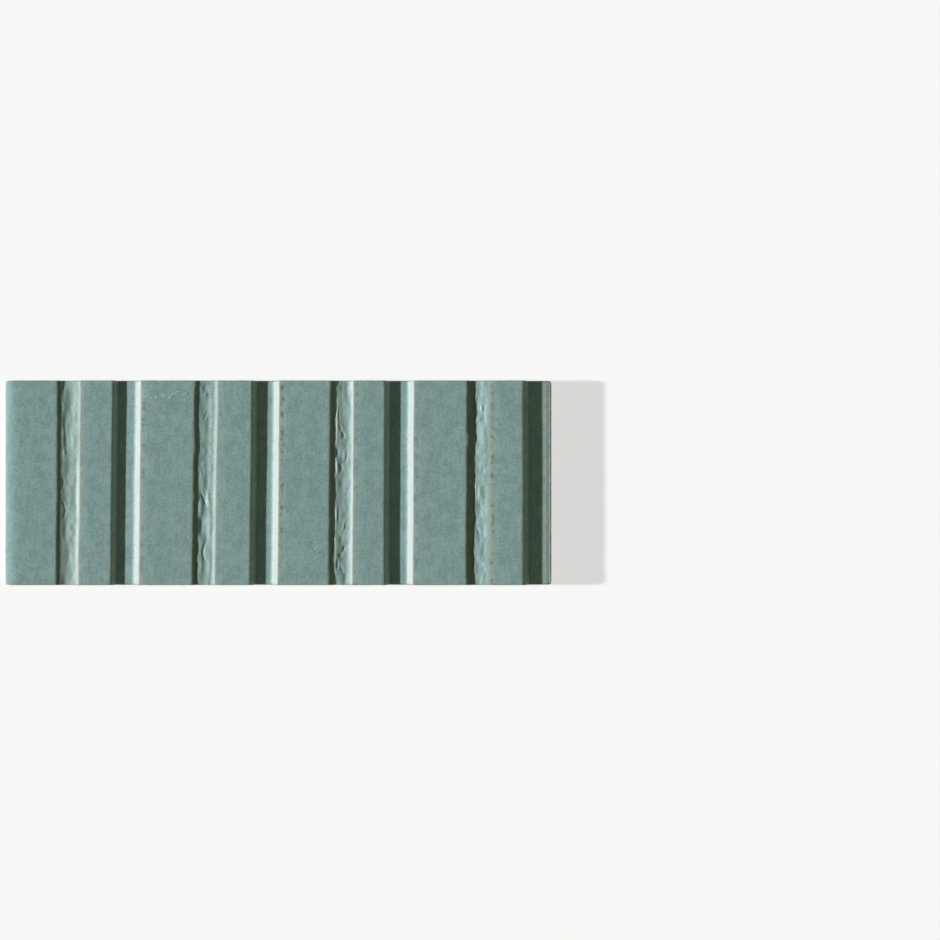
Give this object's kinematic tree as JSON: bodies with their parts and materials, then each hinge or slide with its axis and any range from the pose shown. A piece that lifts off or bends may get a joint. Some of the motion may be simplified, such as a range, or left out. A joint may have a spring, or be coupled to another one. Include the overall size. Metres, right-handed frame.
{
  "type": "porcelain subway tile",
  "caption": "Long rectangular glazed porcelain wall tile with a fluted face of wide and narrow ribs between smooth and rough grooves, and a keyed back that is bedded in adhesive.",
  "frame": {"origin": "centre of the back's plane, under the middle of the tile's outline", "axes": "+X along the length, from the cushioned end to the ledge at the other end; +Y along the flutes; +Z out of the glazed face"},
  "size_m": [0.2, 0.075, 0.01],
  "materials": {
    "glazed_porcelain": "semi-matt grey teal glaze that breaks to tan on the edges, over a bare pale body on the sides and back"
  },
  "bodies": {
    "root": {"tile": "glazed_porcelain"}
  },
  "joints": []
}
